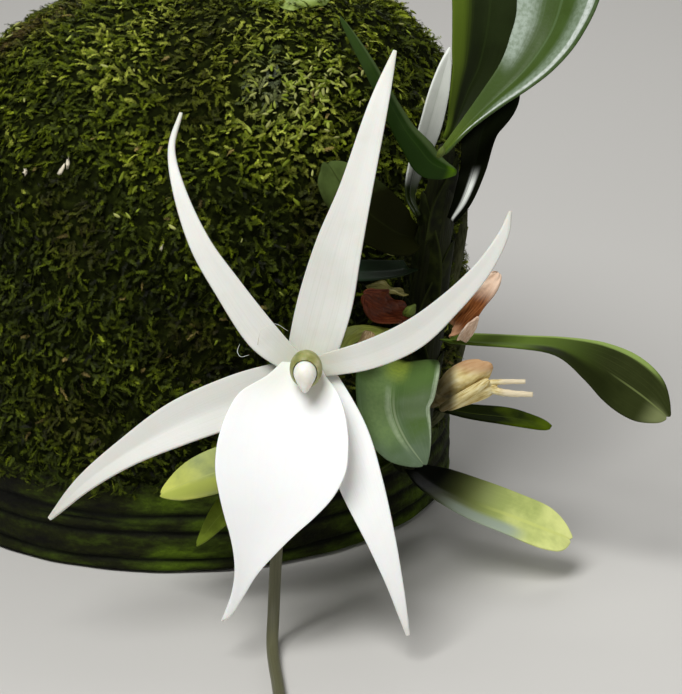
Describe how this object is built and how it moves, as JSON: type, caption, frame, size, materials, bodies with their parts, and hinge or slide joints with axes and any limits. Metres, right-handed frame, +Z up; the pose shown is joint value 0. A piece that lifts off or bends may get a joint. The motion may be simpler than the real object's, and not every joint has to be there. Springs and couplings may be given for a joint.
{
  "type": "potted orchid",
  "caption": "Small orchid with a white star-shaped flower and a long spur, growing on a round clay pot capped with moss.",
  "frame": {"origin": "middle of the flat underside of the pot", "axes": "+Z up, -Y the side the open flower faces, +X the side the leafy stem stands on"},
  "size_m": [0.0971, 0.1353, 0.0811],
  "materials": {
    "clay": "matt unglazed clay with algae",
    "mix": "rough bark",
    "moss": "soft living moss",
    "leaf": "waxy living leaf",
    "stem": "green stem with dry sheaths",
    "root": "grey-green root",
    "dry_bract": "dry and papery",
    "spent": "shrivelled and papery",
    "petal": "waxy white petal",
    "spur": "waxy pale green",
    "column": "waxy green-cream",
    "anther": "waxy white"
  },
  "bodies": {
    "root": {"pot": "clay", "potting_mix": "mix", "moss": "moss", "stem": "stem", "root_1": "root", "root_2": "root", "root_3": "root", "leaf_01": "leaf", "leaf_02": "leaf", "leaf_03": "leaf", "leaf_04": "leaf", "leaf_05": "leaf", "leaf_06": "leaf", "leaf_07": "leaf", "leaf_08": "leaf", "leaf_09": "leaf", "leaf_10": "leaf", "leaf_11": "leaf", "leaf_12": "leaf", "leaf_13": "leaf", "bract_brown": "dry_bract", "bract_pale": "dry_bract", "bract_pink": "dry_bract", "bract_flap": "dry_bract", "sheath_rim": "dry_bract", "spent_flower": "spent", "stalk": "stem", "spur": "spur", "sepal_dorsal": "petal", "sepal_left": "petal", "sepal_right": "petal", "petal_left": "petal", "petal_right": "petal", "lip": "petal", "column": "column", "anther_cap": "anther"}
  },
  "joints": []
}
